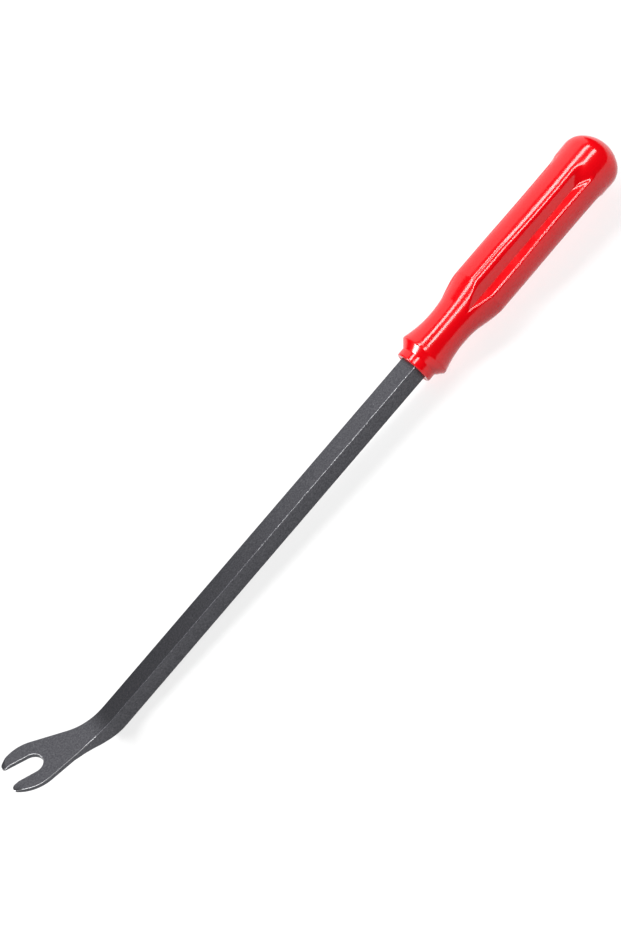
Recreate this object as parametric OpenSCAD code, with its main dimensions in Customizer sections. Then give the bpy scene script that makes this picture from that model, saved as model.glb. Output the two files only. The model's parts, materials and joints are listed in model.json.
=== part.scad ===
// Trim removal tool: a forged steel pry bar with a forked head, moulded into a fluted plastic handle.
// All sizes are in millimetres. The tool's own frame has its zero on the bar's axis at the front of
// the handle's collar, with X toward the butt and Z out of the fork's face. The last step, lie_down(),
// lays the tool on the floor on its heel and its handle, with the tips up.

/* [Bar] */
// Side of the square steel bar
bar_side = 7; // [5:0.1:9]
// From the handle's collar to the corner of the bend
bar_reach = 157.4; // [90:0.1:240]
// How far the bar runs on inside the handle
tang_len = 55; // [30:1:70]

/* [Bend] */
// Angle by which the fork rises from the bar
bend_angle = 33; // [20:0.5:45]
// Radius inside the bend, on the face
bend_r = 26; // [12:0.5:32]
// Radius of the heel, under the bend
heel_r = 15; // [8:0.5:20]
// How far the heel's corner lies behind the bend's corner
heel_back = 1.2; // [0:0.1:3]

/* [Fork] */
// From the bend's corner to the tips, along the face
fork_len = 30; // [27:0.1:40]
// Widest width of the head
head_w = 17.8; // [17:0.1:24]
// Radius of the head's rounded sides
head_side_r = 12; // [10.5:0.1:16]
// From the tips back to where the head is widest
head_back = 8; // [6:0.1:9.5]
// Radius of each tip's outer corner
tip_corner_r = 1.6; // [0.8:0.1:2]
// Angle at which each side flares out
flare_angle = 16; // [10:0.5:22]
// Radius where the flare leaves the bar
flare_r = 40; // [15:1:50]
// Width of the slot
slot_w = 7.3; // [5:0.1:8]
// Depth of the slot from the tips
slot_depth = 12; // [9:0.1:15]
// Corner taken off each side of the slot's mouth
mouth_cut = 0.6; // [0.3:0.1:1]
// Where the forged taper ends and the blade begins, from the bend's corner
blade_from = 9.8; // [7:0.1:13]
// Thickness of the blade where it begins
blade_t = 2; // [1.5:0.1:3]
// Thickness of the blade near the tips
tip_t = 1.4; // [1:0.1:1.9]
// Length of the bevel ground on the tips
bevel_len = 2.3; // [1:0.1:4]
// Thickness left at the very edge
edge_t = 0.5; // [0.3:0.1:0.9]

/* [Handle] */
// Length of the handle
handle_len = 96.7; // [88:0.1:120]
// Diameter of the grip
grip_d = 20.6; // [19:0.1:24]
// Diameter of the front collar
collar_d = 13.5; // [12:0.1:15]
// Length of the front collar
collar_len = 2.9; // [1.5:0.1:4.5]
// Rounding of the collar's front edge
collar_edge_r = 0.6; // [0.2:0.1:1]
// Diameter of the finger guard
guard_d = 18; // [16.5:0.1:20]
// Where the guard reaches its full size
guard_at = 5.5; // [5:0.1:7]
// Length of the guard's rim
guard_rim = 0.7; // [0.4:0.1:1.5]
// Diameter of the waist at its narrowest
waist_d = 14.7; // [13.5:0.1:15.5]
// Where the waist is narrowest
waist_at = 17.4; // [15:0.1:19]
// Where the grip's front shoulder stands
shoulder_at = 33; // [31:0.1:38]
// Length of the shoulder's cone
shoulder_run = 9; // [6:0.1:11]
// Rounding of the shoulder's edge
shoulder_edge_r = 1; // [0.4:0.1:2]
// How deep the grip is hollowed along its length
grip_dip = 0.34; // [0.1:0.02:0.5]
// Half the length of that hollow
grip_dip_half = 20.5; // [14:0.5:22]
// Length of the domed butt
dome_len = 7.8; // [7:0.1:9]
// Radius of the butt's outer corner
dome_corner_r = 6; // [4:0.1:6.2]

/* [Flutes] */
// Number of flutes around the grip
flute_count = 4; // [3:1:5]
// Turn of the first flute from the fork's face
flute_turn = 53.3; // [0:0.1:90]
// Depth of each flute's valley
flute_depth = 2.4; // [1.6:0.1:2.6]
// Slope of the flute's steep wall
flute_wall = 41; // [34:1:60]
// Radius that rolls the grip over into the flute's easy side
flute_roll_r = 3.5; // [2.5:0.1:3.7]
// How far round from the valley that roll begins
flute_roll_turn = 35; // [32:0.5:37]
// Where the flute's valley ends
flute_end = 78.1; // [66:0.1:81]
// Length over which the flute then runs out
flute_runout = 5.6; // [4:0.1:7]
// Radius that rolls the run-out over into the grip
flute_runout_r = 7; // [3:0.1:10]

/* [Hidden] */
$fn = 96;

hair = 0.01;
bar_h = bar_side / 2;
whole = bar_reach + tang_len + fork_len;
heel_corner = [heel_back - bar_reach, -bar_h];
heel_leg = fork_point(blade_from, blade_t) - heel_corner;
heel_turn = 180 - atan2(heel_leg[1], heel_leg[0]);
head_mid = [fork_len - head_back, head_w / 2 - head_side_r];
tip_in = tip_corner_r - hair;
tip_mid = [
    fork_len - tip_in,
    head_mid[1] + sqrt(pow(head_side_r - tip_in, 2) - pow(head_back - tip_in, 2))
];
flare_end = head_mid + head_side_r * [-sin(flare_angle), cos(flare_angle)];
flare_start = [flare_end[0] - (flare_end[1] - bar_h) / tan(flare_angle), bar_h];
slot_u = fork_len - slot_depth + slot_w / 2;

grip_r = grip_d / 2;
collar_r = collar_d / 2;
guard_r = guard_d / 2;
waist_r = waist_d / 2;
guard_to = guard_at + guard_rim;
waist_arc = (pow(waist_at - guard_to, 2) + pow(guard_r - waist_r, 2)) / (2 * (guard_r - waist_r));
cone_at = shoulder_at - shoulder_run;
cone_r = waist_r + waist_arc - sqrt(pow(waist_arc, 2) - pow(cone_at - waist_at, 2));
dome_at = handle_len - dome_len;
dip_arc = (pow(grip_dip_half, 2) + pow(grip_dip, 2)) / (2 * grip_dip);
dip_at = dome_at - grip_dip_half - 1;
dome_arc = (pow(grip_r - dome_corner_r, 2) + pow(dome_len, 2) - pow(dome_corner_r, 2))
    / (2 * (dome_len - dome_corner_r));

valley = [0, grip_r - flute_depth];
roll_reach = grip_r + 0.1;
roll_mid = (roll_reach - flute_roll_r) * [sin(flute_roll_turn), cos(flute_roll_turn)];
roll_from = roll_reach * [sin(flute_roll_turn), cos(flute_roll_turn)];
easy_slope = atan2(roll_mid[0], valley[1] - roll_mid[1]) - acos(flute_roll_r / norm(valley - roll_mid));
easy_end = roll_mid + flute_roll_r * [-sin(easy_slope), cos(easy_slope)];
wall_top = valley + (flute_depth + 2) * [-1 / tan(flute_wall), 1];

// The tilt at which the heel and the grip's shoulder both touch the floor
shoulder_tan = shoulder_edge_r * tan((90 - atan2(shoulder_run, grip_r - cone_r)) / 2);
heel_mid = [heel_corner[0] + heel_r * tan(heel_turn / 2), heel_r - bar_h];
touch_mid = [shoulder_at + shoulder_tan, shoulder_edge_r - grip_r];
apart = heel_mid - touch_mid;
rest_tilt = atan2(apart[0], apart[1]) + acos((heel_r - shoulder_edge_r) / norm(apart));
rest_z = heel_r - heel_mid[0] * sin(rest_tilt) - heel_mid[1] * cos(rest_tilt);
tip = fork_point(fork_len, tip_t);
rest_x = -(tip[0] * cos(rest_tilt) - tip[1] * sin(rest_tilt)
    + (handle_len - dome_arc) * cos(rest_tilt) + dome_arc) / 2;

// A point of the side view: u along the fork's face from the bend's corner, d below the face
function fork_point(u, d) = [
    -bar_reach - u * cos(bend_angle) - d * sin(bend_angle),
    bar_side / 2 + u * sin(bend_angle) - d * cos(bend_angle)
];

// The sliver between a corner and the arc of radius r in it, leg_a to leg_b counted anticlockwise in
// degrees. The arc crosses its legs by a hair, because one that only touches them leaves crumbs.
module corner_sliver(corner, leg_a, leg_b, r) {
    half = (leg_b - leg_a) / 2;
    mid = (leg_a + leg_b) / 2;
    centre = corner + (r - hair) / sin(half) * [cos(mid), sin(mid)];
    difference() {
        polygon([
            corner - 0.3 * [cos(mid), sin(mid)],
            corner + r / tan(half) * [cos(leg_a), sin(leg_a)],
            centre,
            corner + r / tan(half) * [cos(leg_b), sin(leg_b)]
        ]);
        translate(centre) circle(r);
    }
}

// The bar seen from its side: straight stock, the bend, the forged taper, the blade and its bevel
module side_view() {
    difference() {
        union() {
            polygon([
                [tang_len, bar_h],
                [-bar_reach, bar_h],
                fork_point(fork_len - bevel_len, 0),
                fork_point(fork_len, tip_t - edge_t),
                fork_point(fork_len, tip_t),
                fork_point(blade_from, blade_t),
                heel_corner,
                [tang_len, -bar_h]
            ]);
            corner_sliver([-bar_reach, bar_h], 0, 180 - bend_angle, bend_r);
        }
        corner_sliver(heel_corner, 0, 180 - heel_turn, heel_r);
    }
}

// One half of the head, seen square to its face: a wide arc from the flare to the tip's small corner. It
// reaches past the tip, because the side view cuts the tip's end.
module head_half() {
    from = flare_angle + 6;
    tip_dir = (tip_mid - head_mid) / norm(tip_mid - head_mid);
    difference() {
        intersection() {
            translate(head_mid) circle(head_side_r + hair);
            polygon([
                head_mid,
                head_mid + 2 * head_side_r * [-sin(from), cos(from)],
                [fork_len + 0.5, head_mid[1] + 2 * head_side_r],
                [fork_len + 0.5, head_mid[1]]
            ]);
        }
        difference() {
            polygon([
                tip_mid,
                tip_mid + [4 * tip_corner_r, 0],
                tip_mid + 4 * tip_corner_r * [1, 1],
                tip_mid + 4 * tip_corner_r * tip_dir
            ]);
            translate(tip_mid) circle(tip_corner_r);
        }
    }
}

// The fork seen square to its face: bar, flare, rounded head and slot
module face_view() {
    difference() {
        union() {
            polygon([
                [-whole, -bar_h],
                [flare_start[0], -bar_h],
                [flare_end[0], -flare_end[1]],
                [head_mid[0], 0],
                flare_end,
                flare_start,
                [-whole, bar_h]
            ]);
            head_half();
            mirror([0, 1]) head_half();
            corner_sliver(flare_start, flare_angle, 180, flare_r);
            corner_sliver([flare_start[0], -bar_h], -180, -flare_angle, flare_r);
        }
        translate([slot_u, 0]) circle(d = slot_w);
        translate([slot_u, -slot_w / 2]) square([slot_depth, slot_w]);
        polygon([
            [fork_len - mouth_cut, 0],
            [fork_len - mouth_cut, -slot_w / 2],
            [fork_len + 1, -slot_w / 2 - mouth_cut - 1],
            [fork_len + 1, slot_w / 2 + mouth_cut + 1],
            [fork_len - mouth_cut, slot_w / 2]
        ]);
    }
}

// The handle's half section: radius across, distance from the collar's front upward
module handle_section() {
    cone_leg = 180 + atan2(shoulder_run, grip_r - cone_r);
    dome_dir = [grip_r - dome_corner_r, dome_at - handle_len + dome_arc];
    intersection() {
        square([grip_d, handle_len + 1]);
        difference() {
            union() {
                difference() {
                    polygon([
                        [0, 0],
                        [collar_r, 0],
                        [collar_r, collar_len],
                        [guard_r, guard_at],
                        [guard_r, cone_at + 1],
                        [0, cone_at + 1]
                    ]);
                    translate([waist_r + waist_arc, waist_at]) circle(waist_arc, $fn = 360);
                }
                polygon([
                    [0, waist_at],
                    [cone_r - (cone_at - waist_at) * (grip_r - cone_r) / shoulder_run, waist_at],
                    [grip_r, shoulder_at],
                    [grip_r, dome_at],
                    [0, dome_at]
                ]);
                translate([grip_r - dome_corner_r, dome_at]) circle(dome_corner_r + hair);
                intersection() {
                    translate([0, handle_len - dome_arc]) circle(dome_arc);
                    polygon([
                        [0, handle_len - dome_arc],
                        [0, handle_len - dome_arc] + 2 * dome_arc / norm(dome_dir) * dome_dir,
                        [0, handle_len + dome_arc]
                    ]);
                }
            }
            translate([grip_r - grip_dip + dip_arc, dip_at]) circle(dip_arc, $fn = 1440);
            corner_sliver([collar_r, 0], 90, 180, collar_edge_r);
            corner_sliver([grip_r, shoulder_at], 90, cone_leg, shoulder_edge_r);
        }
    }
}

// A flute's cross-section, valley at the bottom: steep wall to the left, easy side and roll to the right
module flute_section() {
    difference() {
        polygon([valley, wall_top, 1.3 * roll_from, roll_from, easy_end]);
        translate(roll_mid) circle(flute_roll_r + hair);
    }
}

// How far a flute may reach, in the handle's half section: up to the cone on which its valley runs out
module flute_reach() {
    low = valley[1] - flute_depth;
    high = valley[1] + 3 * flute_depth;
    polygon([
        [low, waist_at],
        [high, waist_at],
        [high, flute_end + 3 * flute_runout],
        [low, flute_end - flute_runout]
    ]);
    corner_sliver(
        [grip_r, flute_end + flute_runout], 90, 180 + atan2(flute_runout, flute_depth), flute_runout_r
    );
}

// One flute: it starts from nothing on the shoulder's cone and runs out before the butt
module flute() {
    intersection() {
        translate([0, 0, waist_at]) linear_extrude(dome_at - waist_at) flute_section();
        rotate_extrude() flute_reach();
    }
}

module lie_down() {
    translate([rest_x, 0, rest_z]) rotate([0, -rest_tilt, 0]) children();
}

module pry_bar() {
    color("#48484b") lie_down() intersection() {
        rotate([90, 0, 0]) linear_extrude(head_w + 4, center = true) side_view();
        translate([-bar_reach, 0, bar_h]) rotate([0, -bend_angle, 180])
            translate([0, 0, -fork_len]) linear_extrude(whole + fork_len) face_view();
    }
}

module handle() {
    color("#d8141c") lie_down() rotate([90, 0, 90]) difference() {
        rotate_extrude() handle_section();
        for (i = [0 : flute_count - 1])
            rotate([0, 0, flute_turn + i * 360 / flute_count]) flute();
        translate([-bar_h, -bar_h, -1]) cube([bar_side, bar_side, tang_len + 1]);
    }
}

pry_bar();
handle();
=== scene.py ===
# %% [markdown]
# A trim removal tool, dressed
#
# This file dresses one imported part: a square steel bar, forged into a fork, in a moulded red handle. The
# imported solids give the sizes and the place, and Blender gives the soft edges and the finishes. Each cell
# does one step, prints what it made, and can be run by itself after the cells above it.

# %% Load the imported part
import json
import math
import bmesh
import bpy
from mathutils import Matrix, Vector

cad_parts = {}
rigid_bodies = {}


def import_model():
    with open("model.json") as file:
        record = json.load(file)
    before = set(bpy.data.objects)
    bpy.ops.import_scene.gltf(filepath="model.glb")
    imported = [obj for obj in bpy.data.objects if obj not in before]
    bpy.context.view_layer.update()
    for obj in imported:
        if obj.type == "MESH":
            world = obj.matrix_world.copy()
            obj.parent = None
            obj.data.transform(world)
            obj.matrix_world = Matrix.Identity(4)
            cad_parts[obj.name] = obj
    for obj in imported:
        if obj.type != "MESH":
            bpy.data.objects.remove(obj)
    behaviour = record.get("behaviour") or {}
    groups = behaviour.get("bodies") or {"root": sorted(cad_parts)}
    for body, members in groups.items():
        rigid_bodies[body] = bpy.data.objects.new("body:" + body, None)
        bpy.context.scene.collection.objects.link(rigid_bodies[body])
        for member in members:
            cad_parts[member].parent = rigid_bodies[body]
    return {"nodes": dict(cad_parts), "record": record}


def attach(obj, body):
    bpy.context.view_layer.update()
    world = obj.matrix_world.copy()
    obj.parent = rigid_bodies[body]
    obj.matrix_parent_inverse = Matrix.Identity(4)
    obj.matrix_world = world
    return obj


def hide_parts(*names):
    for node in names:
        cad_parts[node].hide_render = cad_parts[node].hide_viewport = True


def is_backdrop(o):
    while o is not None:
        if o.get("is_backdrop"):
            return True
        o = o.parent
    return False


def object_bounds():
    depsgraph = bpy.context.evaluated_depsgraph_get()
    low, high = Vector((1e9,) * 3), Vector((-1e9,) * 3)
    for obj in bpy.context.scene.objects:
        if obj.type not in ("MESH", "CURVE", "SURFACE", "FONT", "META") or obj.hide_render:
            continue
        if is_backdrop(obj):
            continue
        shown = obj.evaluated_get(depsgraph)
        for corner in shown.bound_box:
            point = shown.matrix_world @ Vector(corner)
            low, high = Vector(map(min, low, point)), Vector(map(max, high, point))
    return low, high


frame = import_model()
cad_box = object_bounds()
print("packed nodes:", sorted(frame["nodes"]))

# %% [markdown]
# Where the tool lies
#
# The tool is easiest to draw in its own frame, in millimetres: zero on the bar's axis at the handle's
# front, X toward the butt, Z out of the fork's face. On the floor it lies a little tilted, on its heel and
# on its grip. The record's notch mount has a known place and direction in both frames, so it says how to
# turn and shift everything that is drawn here.

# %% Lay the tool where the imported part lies
bar_side = 7.0
bar_reach = 157.4
bend_angle = math.radians(33)
fork_len = 30.0
slot_w = 7.3
slot_depth = 12.0
blade_from, blade_t, tip_t = 9.8, 2.0, 1.4

notch = frame["record"]["mounts"][0]
tilt = bend_angle - math.atan2(notch["axis"][0], notch["axis"][2])
slot_u = fork_len - slot_depth + slot_w / 2
slot_d = (blade_t + (tip_t - blade_t) * (slot_u - blade_from) / (fork_len - blade_from)) / 2


def fork_place(u, y, d):
    """A point of the fork, in the tool's frame: u along its face from the bend, y across, d below it."""
    return Vector((
        -bar_reach - u * math.cos(bend_angle) - d * math.sin(bend_angle),
        y,
        bar_side / 2 + u * math.sin(bend_angle) - d * math.cos(bend_angle),
    ))


turned = Matrix.Rotation(-tilt, 4, "Y") @ Matrix.Scale(0.001, 4)
lay_down = Matrix.Translation(Vector(notch["pos_m"]) - turned @ fork_place(slot_u, 0, slot_d)) @ turned
front_at = tuple(round(x, 4) for x in lay_down.translation)
print(f"tilt {math.degrees(tilt):.2f} degrees, handle's front at {front_at}")

# %% [markdown]
# The camera
#
# The picture looks down on the tool from close by, with the tool running from low left to high right. The
# camera's place, direction and roll were fitted to the corners of the bar and the fork in the photograph,
# so it needs no shift.

# %% Make the camera
image_w, image_h = 621, 931
focal_px = 1071.4
camera_place = Vector((-0.01539, -0.23455, 0.26948))
to_camera = Vector((-0.03611, -0.67632, 0.73572))
camera_up = Vector((0.74209, 0.47493, 0.47301))

camera = bpy.data.objects.new("camera", bpy.data.cameras.new("camera"))
bpy.context.scene.collection.objects.link(camera)
bpy.context.scene.camera = camera
camera.data.sensor_width = 36.0
camera.data.lens = camera.data.sensor_width * focal_px / max(image_w, image_h)
camera.data.clip_start, camera.data.clip_end = 0.01, 20
camera_right = camera_up.cross(to_camera).normalized()
camera.matrix_world = Matrix.Translation(camera_place) @ Matrix(
    (camera_right, to_camera.cross(camera_right), to_camera)
).transposed().to_4x4()
print(f"camera: {camera.data.lens:.1f} mm lens, {camera_place.length * 1000:.0f} mm from the tool's middle")

# %% [markdown]
# The studio
#
# The real picture was lit softly, from a bright wall behind the tool and two long tubes above it. The tubes
# draw two thin lines along the glossy handle, and the wall pales the handle's far side. Lamps are placed by
# the angle at which they stand above the line of sight, because a mirror doubles that angle: a line of
# light seen where the surface leans 9 degrees comes from a lamp at 18.
#
# Two tubes would also draw two crossed shadows, so they cast none, and the wall and a small panel on the
# left make the soft shadow. A bright world would wash out every reflection, so only the camera sees it, as
# a white backdrop.

# %% Make the floor and the lamps
def linear(hex_colour):
    """An sRGB hex colour as the linear RGBA that Blender's sockets take."""
    parts = [int(hex_colour[i:i + 2], 16) / 255 for i in (1, 3, 5)]
    return [x / 12.92 if x <= 0.04045 else ((x + 0.055) / 1.055) ** 2.4 for x in parts] + [1.0]


sight = Vector((0, to_camera.y, to_camera.z)).normalized()
over = Vector((1, 0, 0)).cross(sight)
over = over if over.z > 0 else -over


def over_sight(angle):
    """The direction that stands at an angle in degrees over the line of sight, square to the tool."""
    return sight * math.cos(math.radians(angle)) + over * math.sin(math.radians(angle))


def add_lamp(name, aim, way, distance, length, width, radiance, shadow=False):
    """A rectangular lamp at a distance from its aim, in millimetres along the tool, that faces it."""
    data = bpy.data.lights.new(name, "AREA")
    data.shape = "RECTANGLE"
    data.size, data.size_y = length, width
    data.energy = radiance * math.pi * length * width
    data.use_shadow = shadow
    lamp = bpy.data.objects.new(name, data)
    bpy.context.scene.collection.objects.link(lamp)
    place = lay_down @ Vector((aim, 0, 0)) + way.normalized() * distance
    lamp.matrix_world = Matrix.Translation(place) @ way.to_track_quat("Z", "Y").to_matrix().to_4x4()
    print(f"{name}: {data.energy:.1f} W at {tuple(round(x, 2) for x in place)}")


for name, angle in (("near_tube", 15), ("far_tube", 45)):
    add_lamp(name, aim=316, way=over_sight(angle), distance=1.6, length=1.9, width=0.27, radiance=19.0)
add_lamp(
    "bright_wall", aim=614, way=over_sight(99), distance=1.0, length=1.6, width=1.36, radiance=1.4, shadow=True,
)
add_lamp(
    "left_panel", aim=-165, way=Vector((-0.80, 0.34, 0.48)), distance=1.6, length=0.46, width=0.46,
    radiance=38.0, shadow=True,
)

bpy.context.scene.view_settings.view_transform = "Standard"
world = bpy.data.worlds.new("studio")
bpy.context.scene.world = world
world.use_nodes = True
room = world.node_tree.nodes["Background"]
room.inputs["Color"].default_value = linear("#ffffff")
room.inputs["Strength"].default_value = 1.0
world.cycles_visibility.diffuse = False
world.cycles_visibility.glossy = False

floor_mesh = bpy.data.meshes.new("floor")
bm = bmesh.new()
bmesh.ops.create_grid(bm, x_segments=1, y_segments=1, size=1.0)
bm.to_mesh(floor_mesh)
bm.free()
floor = bpy.data.objects.new("floor", floor_mesh)
bpy.context.scene.collection.objects.link(floor)
floor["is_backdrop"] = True

# %% [markdown]
# Drawing outlines
#
# Both pieces start as outlines of straight lines and arcs. An outline could be a list of points, but then
# every arc would be a run of numbers. Here a pen is one vertex: extruding it draws a line, and spinning it
# about a centre draws an arc, as a compass does. Outlines are drawn in the XZ plane.

# %% A pen that draws lines and arcs
across_axis = Vector((0, 1, 0))


def draw_line(bm, pen, place):
    """Extrudes the pen's vertex to a place and returns the new vertex."""
    made = bmesh.ops.extrude_vert_indiv(bm, verts=[pen])["verts"][0]
    made.co = place
    return made


def draw_arc(bm, pen, centre, angle, step):
    """Spins the pen's vertex about a centre, in steps of about the given length."""
    steps = max(2, round(abs(angle) * (pen.co - centre).length / step))
    made = bmesh.ops.spin(bm, geom=[pen], cent=centre, axis=across_axis, angle=angle, steps=steps)
    return made["geom_last"][0]


def draw_corner(bm, pen, corner, onward, radius, step):
    """Draws toward a corner and round it with a radius, so that the pen then heads for the next place."""
    come = (corner - pen.co).normalized()
    leave = (onward - corner).normalized()
    turn = math.atan2(come.cross(leave).dot(across_axis), come.dot(leave))
    pen = draw_line(bm, pen, corner - come * radius * math.tan(abs(turn) / 2))
    inward = across_axis.cross(come) * math.copysign(1, turn)
    return draw_arc(bm, pen, pen.co + inward * radius, turn, step)


def finish_piece(bm, name, node_name, material):
    """Lays a drawn piece down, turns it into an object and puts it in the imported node's place."""
    bmesh.ops.transform(bm, matrix=lay_down, verts=bm.verts)
    for face in bm.faces:
        face.smooth = True
    mesh = bpy.data.meshes.new(name)
    bm.to_mesh(mesh)
    bm.free()
    mesh.materials.append(material)
    piece = bpy.data.objects.new(name, mesh)
    bpy.context.scene.collection.objects.link(piece)
    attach(piece, "root")
    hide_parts(node_name)
    low, high = (Vector(c) for c in (piece.bound_box[0], piece.bound_box[6]))
    print(f"{name}: {len(mesh.polygons)} faces, {[round(x * 1000, 2) for x in high - low]} mm")
    return piece


# %% [markdown]
# The handle's body
#
# The real handle is one moulding that was poured or pressed round the bar: a collar, a guard, a waist, a
# cone, and a grip that is a little hollow along its length and ends in a dome. A turned shape like this is
# a half outline and one spin. The outline's long lines are cut into short steps first, because the flutes
# that come next need vertices to press on.

# %% Draw and spin the handle's body
handle_len = 96.7
grip_r = 10.3
collar_r, collar_len, collar_edge_r = 6.75, 2.9, 0.6
collar_foot_r = 0.5
guard_r, guard_at, guard_rim, guard_edge_r = 9.0, 5.5, 0.7, 0.7
waist_r, waist_at = 7.35, 17.4
shoulder_at, shoulder_run, shoulder_edge_r = 33.0, 9.0, 1.0
dip, dip_half, dip_gap = 0.34, 20.5, 1.0
dome_len, dome_corner_r = 7.8, 6.0
ring_step, collar_step, corner_step = 0.36, 0.15, 0.1
round_steps = 256

guard_to = guard_at + guard_rim
waist_arc = ((waist_at - guard_to) ** 2 + (guard_r - waist_r) ** 2) / (2 * (guard_r - waist_r))
cone_at = shoulder_at - shoulder_run
dome_at = handle_len - dome_len
dip_arc = (dip_half ** 2 + dip ** 2) / (2 * dip)
dip_at = dome_at - dip_half - dip_gap
corner_in = grip_r - dome_corner_r
dome_arc = (corner_in ** 2 + dome_len ** 2 - dome_corner_r ** 2) / (2 * (dome_len - dome_corner_r))
dome_lean = math.atan2(dome_at - handle_len + dome_arc, corner_in)


def out(x, radius):
    """A place on the handle's outline."""
    return Vector((x, 0, radius))


body = bmesh.new()
pen = body.verts.new(out(0, collar_r - collar_edge_r))
pen = draw_arc(body, pen, out(collar_edge_r, collar_r - collar_edge_r), math.radians(90), collar_step)
pen = draw_corner(body, pen, out(collar_len, collar_r), out(guard_at, guard_r), collar_foot_r, corner_step)
pen = draw_corner(body, pen, out(guard_at, guard_r), out(guard_to, guard_r), guard_edge_r, corner_step)
pen = draw_line(body, pen, out(guard_to, guard_r))
waist_mid = out(waist_at, waist_r + waist_arc)
waist_turn = math.asin((waist_at - guard_to) / waist_arc) + math.asin((cone_at - waist_at) / waist_arc)
pen = draw_arc(body, pen, waist_mid, -waist_turn, ring_step)
dip_start = out(dip_at - dip_half, grip_r)
pen = draw_corner(body, pen, out(shoulder_at, grip_r), dip_start, shoulder_edge_r, corner_step)
pen = draw_line(body, pen, dip_start)
pen = draw_arc(body, pen, out(dip_at, grip_r - dip + dip_arc), -2 * math.asin(dip_half / dip_arc), ring_step)
pen = draw_line(body, pen, out(dome_at, grip_r))
pen = draw_arc(body, pen, out(dome_at, corner_in), dome_lean, ring_step)
pen = draw_arc(body, pen, out(handle_len - dome_arc, 0), math.radians(90) - dome_lean, ring_step)
pen.co = out(handle_len, 0)
bmesh.ops.remove_doubles(body, verts=body.verts, dist=0.005)

for edge in list(body.edges):
    cuts = round(edge.calc_length() / ring_step) - 1
    if cuts > 0:
        bmesh.ops.subdivide_edges(body, edges=[edge], cuts=cuts)
print(f"handle's outline: {len(body.edges)} steps")

bmesh.ops.spin(
    body, geom=body.verts[:] + body.edges[:], cent=(0, 0, 0), axis=(1, 0, 0),
    angle=math.tau, steps=round_steps, use_merge=True, use_duplicate=False,
)
bmesh.ops.remove_doubles(body, verts=body.verts, dist=0.002)
print(f"handle's body: {len(body.faces)} faces")

# %% [markdown]
# The flutes
#
# Four lopsided flutes keep the grip from turning in a hand: each has one steep wall with a crisp edge and
# one easy side that rolls over into the grip. Cutting them with a boolean would leave ragged faces that
# shade badly on a glossy surface. Pressing them is smoother: every vertex moves straight toward the axis,
# as far as the flute's floor, and where two surfaces meet they are blended over a fraction of a millimetre,
# which gives the soft edges of a moulding. The body is first turned so that a row of vertices lies along
# each valley, and the edges there are marked sharp: a smooth one would catch a line of light that the real
# handle doesn't show. The square socket for the bar comes last.

# %% Press the flutes and the socket
flute_count = 4
flute_turn = math.radians(53.3)
valley_r = grip_r - 2.4
flute_wall = math.radians(41)
roll_r, roll_turn = 3.5, math.radians(35)
roll_reach = grip_r + 0.1
flute_end, flute_runout = 78.1, 5.6
edge_blend, valley_blend, runout_blend = 0.4, 0.04, 1.2
crease_depth, crease_stop = 0.4, flute_end - 1

roll_in = roll_reach - roll_r
roll_mid = Vector((roll_in * math.sin(roll_turn), roll_in * math.cos(roll_turn)))
to_roll = roll_mid - Vector((0, valley_r))
easy_slope = math.atan2(to_roll.x, -to_roll.y) - math.acos(roll_r / to_roll.length)
easy_end = roll_mid + roll_r * Vector((-math.sin(easy_slope), math.cos(easy_slope)))
easy_turn = math.atan2(easy_end.x, easy_end.y)
steep_turn = math.radians(-30)


def blend_low(a, b, width):
    """The lower of two heights, rounded off over the given width where they meet."""
    share = max(width - abs(a - b), 0.0) / width
    return min(a, b) - share * share * width / 4


def flute_floor(x, turn):
    """Distance from the handle's axis to a flute's floor, at x along it and a turn from the valley."""
    if turn < steep_turn:
        return 2 * grip_r
    steep = valley_r / (math.cos(turn) + math.sin(turn) * math.tan(flute_wall))
    if turn < easy_turn:
        easy = valley_r / (math.cos(turn) - math.sin(turn) * math.tan(easy_slope))
    elif turn < roll_turn:
        off = roll_turn - turn
        easy = roll_in * math.cos(off) + math.sqrt(roll_r ** 2 - (roll_in * math.sin(off)) ** 2)
    else:
        easy = roll_reach + (turn - roll_turn) * grip_r
    runout = valley_r + (x - flute_end) * (grip_r - valley_r) / flute_runout
    floor_r = -blend_low(-steep, -easy, valley_blend)
    return -blend_low(-floor_r, -runout, runout_blend)


bmesh.ops.rotate(body, verts=body.verts, cent=(0, 0, 0), matrix=Matrix.Rotation(flute_turn, 3, "X"))
period = math.tau / flute_count
valley = set()
for vert in body.verts:
    x, y, z = vert.co
    if waist_at < x < dome_at:
        radius = math.hypot(y, z)
        turn = (flute_turn - math.atan2(-y, z) + period / 2) % period - period / 2
        pressed = blend_low(radius, flute_floor(x, turn), edge_blend)
        vert.co = Vector((x, y * pressed / radius, z * pressed / radius))
        if abs(turn) < 0.001 and radius - pressed > crease_depth and x < crease_stop:
            valley.add(vert)
crease = [e for e in body.edges if valley.issuperset(e.verts)]
for edge in crease:
    edge.smooth = False
print(f"flutes pressed, {len(crease)} edges creased along their floors")

tang_len = 55.0


def pull_rim(edges):
    """Extrudes a rim of edges and returns the new vertices and edges."""
    made = bmesh.ops.extrude_edge_only(body, edges=edges)["geom"]
    return [[x for x in made if isinstance(x, kind)] for kind in (bmesh.types.BMVert, bmesh.types.BMEdge)]


mouth_verts, mouth = pull_rim([e for e in body.edges if e.is_boundary])
for vert in mouth_verts:
    vert.co *= bar_side / 2 / max(abs(vert.co.y), abs(vert.co.z))
end_verts, end = pull_rim(mouth)
bmesh.ops.translate(body, verts=end_verts, vec=(tang_len, 0, 0))
bmesh.ops.poke(body, faces=bmesh.ops.holes_fill(body, edges=end, sides=0)["faces"])
bmesh.ops.recalc_face_normals(body, faces=body.faces)
open_edges = sum(e.is_boundary for e in body.edges)
print(f"handle with flutes and socket: {len(body.faces)} faces, open edges {open_edges}")

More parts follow.
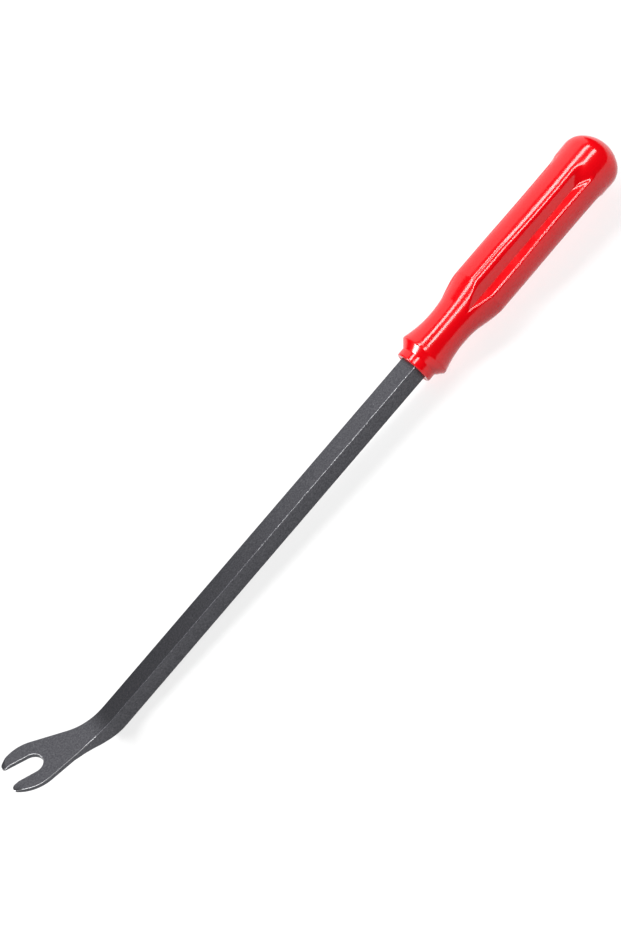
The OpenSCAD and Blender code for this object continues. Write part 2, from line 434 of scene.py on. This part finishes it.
# %% [markdown]
# The handle's finish
#
# The handle is injection moulded in a solid red plastic, such as cellulose acetate, and comes out of a
# polished mould: a deep even colour under a clear gloss. The colour sits a little under the surface. A
# polished mould is never quite true, and the slow waves that it leaves make the lines of light wander a
# little.

# %% Mix the red plastic
def add_node(tree, kind, inputs, **settings):
    """Adds a node with its settings, and fills its inputs with values or with links from other sockets."""
    made = tree.nodes.new(kind)
    for name, value in settings.items():
        setattr(made, name, value)
    for name, value in inputs.items():
        if isinstance(value, bpy.types.NodeSocket):
            tree.links.new(value, made.inputs[name])
        else:
            made.inputs[name].default_value = value
    return made


def new_material(name):
    """A material with its tree, its shader and the coordinates of the object's own frame."""
    material = bpy.data.materials.new(name)
    material.use_nodes = True
    tree = material.node_tree
    place = tree.nodes.new("ShaderNodeTexCoord").outputs["Object"]
    return material, tree, tree.nodes["Principled BSDF"], place


def per_mm(size):
    """The scale at which a noise has features of about this size in millimetres."""
    return 1000 / size


red_plastic, tree, shader, place = new_material("moulded_red_acetate")
cloud = add_node(tree, "ShaderNodeTexNoise", {"Vector": place, "Scale": per_mm(14), "Detail": 2.0})
tint = add_node(tree, "ShaderNodeValToRGB", {"Fac": cloud.outputs["Fac"]})
tint.color_ramp.elements[0].position = 0.3
tint.color_ramp.elements[0].color = linear("#b4030b")
tint.color_ramp.elements[1].position = 0.7
tint.color_ramp.elements[1].color = linear("#be050e")
wave = add_node(tree, "ShaderNodeTexNoise", {"Vector": place, "Scale": per_mm(9), "Detail": 1.0})
ripple = add_node(
    tree, "ShaderNodeBump", {"Height": wave.outputs["Fac"], "Strength": 0.02, "Distance": 0.0006},
)
haze = add_node(tree, "ShaderNodeTexNoise", {"Vector": place, "Scale": per_mm(3), "Detail": 4.0})
gloss = add_node(
    tree, "ShaderNodeMapRange",
    {"Value": haze.outputs["Fac"], "From Min": 0.3, "From Max": 0.7, "To Min": 0.12, "To Max": 0.17},
)
tree.links.new(tint.outputs["Color"], shader.inputs["Base Color"])
tree.links.new(gloss.outputs["Result"], shader.inputs["Roughness"])
tree.links.new(ripple.outputs["Normal"], shader.inputs["Normal"])
shader.inputs["IOR"].default_value = 1.46
finish_piece(body, "red_handle", "handle", red_plastic)

# %% [markdown]
# The pry bar
#
# The bar is forged from square stock: one end is flattened, flared and bent up, then the slot is punched.
# Seen from the side it is one outline, and seen square to the fork's face it is another. Where the two
# outlines, each pulled through the other, overlap, there is the bar. So two prisms and one intersection
# make it, and a bevel then breaks its edges as tumbling does on the real one.

# %% Draw the two outlines and intersect them
bend_r = 26.0
heel_r, heel_back = 15.0, 1.2
head_w, head_side_r, head_back, tip_corner_r = 17.8, 12.0, 8.0, 1.6
flare_angle, flare_r = math.radians(16), 40.0
mouth_cut = 0.6
bevel_len, edge_t = 2.3, 0.5
arc_step = 0.35
bar_h = bar_side / 2
clear = 4.0


def draw_round(bm, corners, step):
    """Draws a closed outline through corners, each (place, radius), and fills it with one face."""
    places = [c[0] for c in corners]
    pen = bm.verts.new((places[-1] + places[0]) / 2)
    first = pen
    for i, (place, radius) in enumerate(corners):
        onward = places[i + 1] if i + 1 < len(places) else first.co
        pen = draw_corner(bm, pen, place, onward, radius, step) if radius else draw_line(bm, pen, place)
    draw_line(bm, pen, first.co)
    bmesh.ops.remove_doubles(bm, verts=bm.verts, dist=0.001)
    return bmesh.ops.contextual_create(bm, geom=bm.edges)["faces"]


def pull(bm, faces, way):
    """Pulls a filled outline into a prism, half of the way to each side."""
    bmesh.ops.translate(bm, verts=bm.verts, vec=-way / 2)
    made = bmesh.ops.extrude_face_region(bm, geom=faces)["geom"]
    bmesh.ops.translate(bm, verts=[v for v in made if isinstance(v, bmesh.types.BMVert)], vec=way)
    bmesh.ops.recalc_face_normals(bm, faces=bm.faces)


def side(u, d):
    """A corner of the side view that lies on the fork."""
    return fork_place(u, 0, d)


side_view = bmesh.new()
pull(side_view, draw_round(side_view, [
    (Vector((tang_len, 0, -bar_h)), 0),
    (Vector((tang_len, 0, bar_h)), 0),
    (Vector((-bar_reach, 0, bar_h)), bend_r),
    (side(fork_len - bevel_len, 0), 0),
    (side(fork_len, tip_t - edge_t), 0),
    (side(fork_len, tip_t), 0),
    (side(blade_from, blade_t), 0),
    (Vector((heel_back - bar_reach, 0, -bar_h)), heel_r),
], arc_step), Vector((0, head_w + clear, 0)))

tail = bar_reach + tang_len + clear
slot_h = slot_w / 2


def plan(u, y):
    """A corner of the view square to the fork's face, drawn flat before it is turned into place."""
    return Vector((u, 0, y))


def plan_way(angle):
    """A direction in that view, counted from the tips' direction."""
    return plan(math.cos(angle), math.sin(angle))


head_mid = plan(fork_len - head_back, head_w / 2 - head_side_r)
tip_in, side_in = head_back - tip_corner_r, head_side_r - tip_corner_r
tip_mid = head_mid + plan(tip_in, math.sqrt(side_in ** 2 - tip_in ** 2))
flare_way = math.radians(90) + flare_angle
tip_way = math.acos(tip_in / side_in)
flare_end = head_mid + plan_way(flare_way) * head_side_r
side_way, side_half = (flare_way + tip_way) / 2, (flare_way - tip_way) / 2
half_side = [
    (plan(flare_end.x - (flare_end.z - bar_h) / math.tan(flare_angle), bar_h), flare_r),
    (head_mid + plan_way(side_way) * head_side_r / math.cos(side_half), head_side_r),
    (tip_mid + plan_way(tip_way / 2) * tip_corner_r / math.cos(tip_way / 2), tip_corner_r),
    (plan(fork_len, slot_h + mouth_cut), 0),
    (plan(fork_len - mouth_cut, slot_h), 0),
    (plan(fork_len - slot_depth, slot_h), slot_h),
]
other_side = [(plan(place.x, -place.z), radius) for place, radius in half_side]

face_view = bmesh.new()
pull(face_view, draw_round(face_view, [
    (plan(-tail, -bar_h), 0), *other_side, *reversed(half_side), (plan(-tail, bar_h), 0),
], arc_step), Vector((0, 2 * tail, 0)))
along_fork = fork_place(1, 0, 0) - fork_place(0, 0, 0)
fork_up = fork_place(0, 0, -1) - fork_place(0, 0, 0)
fork_turn = Matrix((along_fork, fork_up, across_axis)).transposed().to_4x4()
onto_fork = Matrix.Translation(fork_place(0, 0, 0)) @ fork_turn
bmesh.ops.transform(face_view, matrix=onto_fork, verts=face_view.verts)


def scratch_object(bm, name):
    """A throw-away object for the intersection."""
    mesh = bpy.data.meshes.new(name)
    bm.to_mesh(mesh)
    bm.free()
    made = bpy.data.objects.new(name, mesh)
    bpy.context.scene.collection.objects.link(made)
    return made


side_block = scratch_object(side_view, "side_block")
face_block = scratch_object(face_view, "face_block")
overlap = side_block.modifiers.new("overlap", "BOOLEAN")
overlap.operation = "INTERSECT"
overlap.solver = "EXACT"
overlap.object = face_block
bar = bmesh.new()
bar.from_mesh(side_block.evaluated_get(bpy.context.evaluated_depsgraph_get()).to_mesh())
bpy.data.objects.remove(side_block)
bpy.data.objects.remove(face_block)
bmesh.ops.remove_doubles(bar, verts=bar.verts, dist=0.002)
bmesh.ops.dissolve_limit(bar, angle_limit=math.radians(0.3), verts=bar.verts, edges=bar.edges)
print(f"pry bar before its bevel: {len(bar.faces)} faces")

# %% [markdown]
# Breaking the edges
#
# No forged edge is a knife edge. All of the bar's edges are broken by just under a fifth of a millimetre, so
# that each one catches a thin line of light, as it does in the photograph. More would not fit: the ground
# tips thin out to half a millimetre. The new faces also carry a value that pales them in the finish, partly
# for wear and partly as a painted highlight along the edge, so the long straight bar is first cut into short
# lengths that can each have their own value.

# %% Bevel the bar
edge_break = 0.18
sharp = math.radians(25)
wear_and_glint_steps = 16
fork_wear_and_glint, hand_wear_and_glint = 1.7, 0.7
wear_and_glint_from, wear_and_glint_run = -100, 60


def wear_and_glint(x):
    """How much an edge is paled, partly by wear and partly as a painted highlight: most on the fork, least on
    the lower bar, and more toward the hand.
    """
    return fork_wear_and_glint if x < -bar_reach else min(max((x - wear_and_glint_from) / wear_and_glint_run, 0.0), hand_wear_and_glint)


edge_wear_and_glint = bar.faces.layers.float.new("edge_wear_and_glint")
for cut in range(wear_and_glint_steps):
    bmesh.ops.bisect_plane(
        bar, geom=bar.verts[:] + bar.edges[:] + bar.faces[:], dist=0.001,
        plane_co=(-bar_reach * cut / wear_and_glint_steps, 0, 0), plane_no=(1, 0, 0),
    )
edges = [e for e in bar.edges if e.is_manifold and e.calc_face_angle() > sharp]
made = bmesh.ops.bevel(
    bar, geom=edges, offset=edge_break, offset_type="OFFSET", segments=3, profile=0.5,
    affect="EDGES", clamp_overlap=False, material=-1,
)
# Each new edge face gets a value that pales it in the finish: partly wear, partly a painted highlight along the
# edge.
for face in made["faces"]:
    face[edge_wear_and_glint] = wear_and_glint(face.calc_center_median().x)
print(f"bevel of {edge_break} mm on {len(edges)} edges: {len(made['faces'])} new faces")
bmesh.ops.recalc_face_normals(bar, faces=bar.faces)

# %% [markdown]
# The bar's finish
#
# The steel is blackened in a hot salt bath, which turns its skin to black oxide: dark grey, neither bare
# metal nor paint, with a fine grain from the scale under it. It shines dimly and evenly. The grain is drawn
# a little coarser than it is, so that it shows at this size. On rubbed edges the oxide is thin, in
# patches, and paler and smoother steel shows. The same pale colour is also a painted highlight: the edges
# are painted paler most on the fork and toward the hand, where they should catch a line of light.

# %% Mix the black oxide
black_oxide, tree, shader, place = new_material("black_oxide_steel")
grit = add_node(
    tree, "ShaderNodeTexNoise", {"Vector": place, "Scale": per_mm(0.55), "Detail": 2.0, "Roughness": 0.6},
)
patch = add_node(tree, "ShaderNodeTexNoise", {"Vector": place, "Scale": per_mm(15), "Detail": 1.0})
patchy_rub_and_glint = add_node(
    tree, "ShaderNodeMapRange",
    {"Value": patch.outputs["Fac"], "From Min": 0.35, "From Max": 0.65, "To Min": 0.3, "To Max": 0.6},
)
# Reads the edge value that stands for wear and for a painted highlight.
rubbed_and_glint = add_node(tree, "ShaderNodeAttribute", {}, attribute_name="edge_wear_and_glint")
level = add_node(
    tree, "ShaderNodeMath", {0: rubbed_and_glint.outputs["Fac"], 1: patchy_rub_and_glint.outputs["Result"], 2: grit.outputs["Fac"]},
    operation="MULTIPLY_ADD",
)
tint = add_node(tree, "ShaderNodeValToRGB", {"Fac": level.outputs["Value"]})
tint.color_ramp.elements[0].position = 0.25
tint.color_ramp.elements[0].color = linear("#3d3d42")
tint.color_ramp.elements[1].position = 0.7
tint.color_ramp.elements[1].color = linear("#58585c")
# The palest colour is rubbed steel and also a painted highlight on the edges.
tint.color_ramp.elements.new(0.95).color = linear("#969699")
rough = add_node(
    tree, "ShaderNodeMapRange",
    {"Value": level.outputs["Value"], "From Min": 0.3, "From Max": 1.0, "To Min": 0.40, "To Max": 0.28},
)
grain = add_node(
    tree, "ShaderNodeBump", {"Height": grit.outputs["Fac"], "Strength": 0.25, "Distance": 0.00008},
)
tree.links.new(tint.outputs["Color"], shader.inputs["Base Color"])
tree.links.new(rough.outputs["Result"], shader.inputs["Roughness"])
tree.links.new(grain.outputs["Normal"], shader.inputs["Normal"])
shader.inputs["Metallic"].default_value = 0.9
pry_bar = finish_piece(bar, "steel_pry_bar", "pry_bar", black_oxide)
flat_faces = pry_bar.modifiers.new("flat_faces", "WEIGHTED_NORMAL")
flat_faces.weight = 80

# %% [markdown]
# The floor
#
# A pale, matt sheet, so that nothing but a soft shadow shows under the tool.

# %% Paint the floor
paper, tree, shader, _ = new_material("pale_paper")
shader.inputs["Base Color"].default_value = linear("#b8b8b8")
shader.inputs["Roughness"].default_value = 0.9
shader.inputs["Specular IOR Level"].default_value = 0.1
floor.data.materials.append(paper)
print(f"floor: {floor.dimensions.x:.1f} m of {paper.name}")

# %% [markdown]
# Sizes
#
# The dressed tool has to stay inside the imported part's box, so both boxes are printed side by side.

# %% Print the two boxes and finish
boxes = {"cad": cad_box, "visual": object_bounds()}
for name, (low, high) in boxes.items():
    print(name, [round(x * 1000, 2) for x in low], [round(x * 1000, 2) for x in high])
